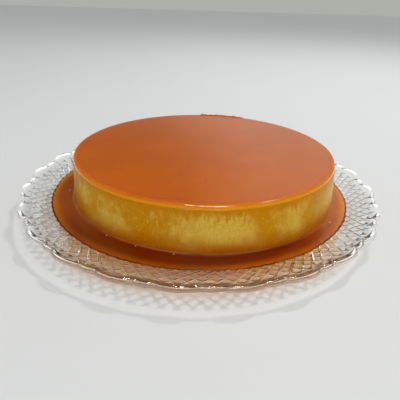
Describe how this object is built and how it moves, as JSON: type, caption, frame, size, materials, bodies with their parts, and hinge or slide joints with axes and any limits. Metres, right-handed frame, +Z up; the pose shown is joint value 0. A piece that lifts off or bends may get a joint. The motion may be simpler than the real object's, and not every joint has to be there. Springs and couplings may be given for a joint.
{
  "type": "leche flan on a glass plate",
  "caption": "Round caramel custard turned out whole, glossy caramel on top and in a shallow pool round it, on a clear scalloped pressed glass plate.",
  "frame": {"origin": "On the plate's axis, in the plane of the table that the foot ring stands on", "axes": "+Z up along the plate's axis, -Y towards the side shown in front, +X to the right of it"},
  "size_m": [0.3098, 0.3098, 0.0473],
  "materials": {
    "clear_glass": "clear, fire-polished, pressed diamond relief",
    "custard": "moist, smooth, faintly mottled and streaked with caramel",
    "caramel_top": "wet gloss, translucent amber",
    "caramel_sauce": "wet gloss, translucent red-brown liquid"
  },
  "bodies": {
    "root": {"plate": "clear_glass", "custard": "custard", "caramel_layer": "caramel_top", "caramel_pool": "caramel_sauce"}
  },
  "joints": []
}
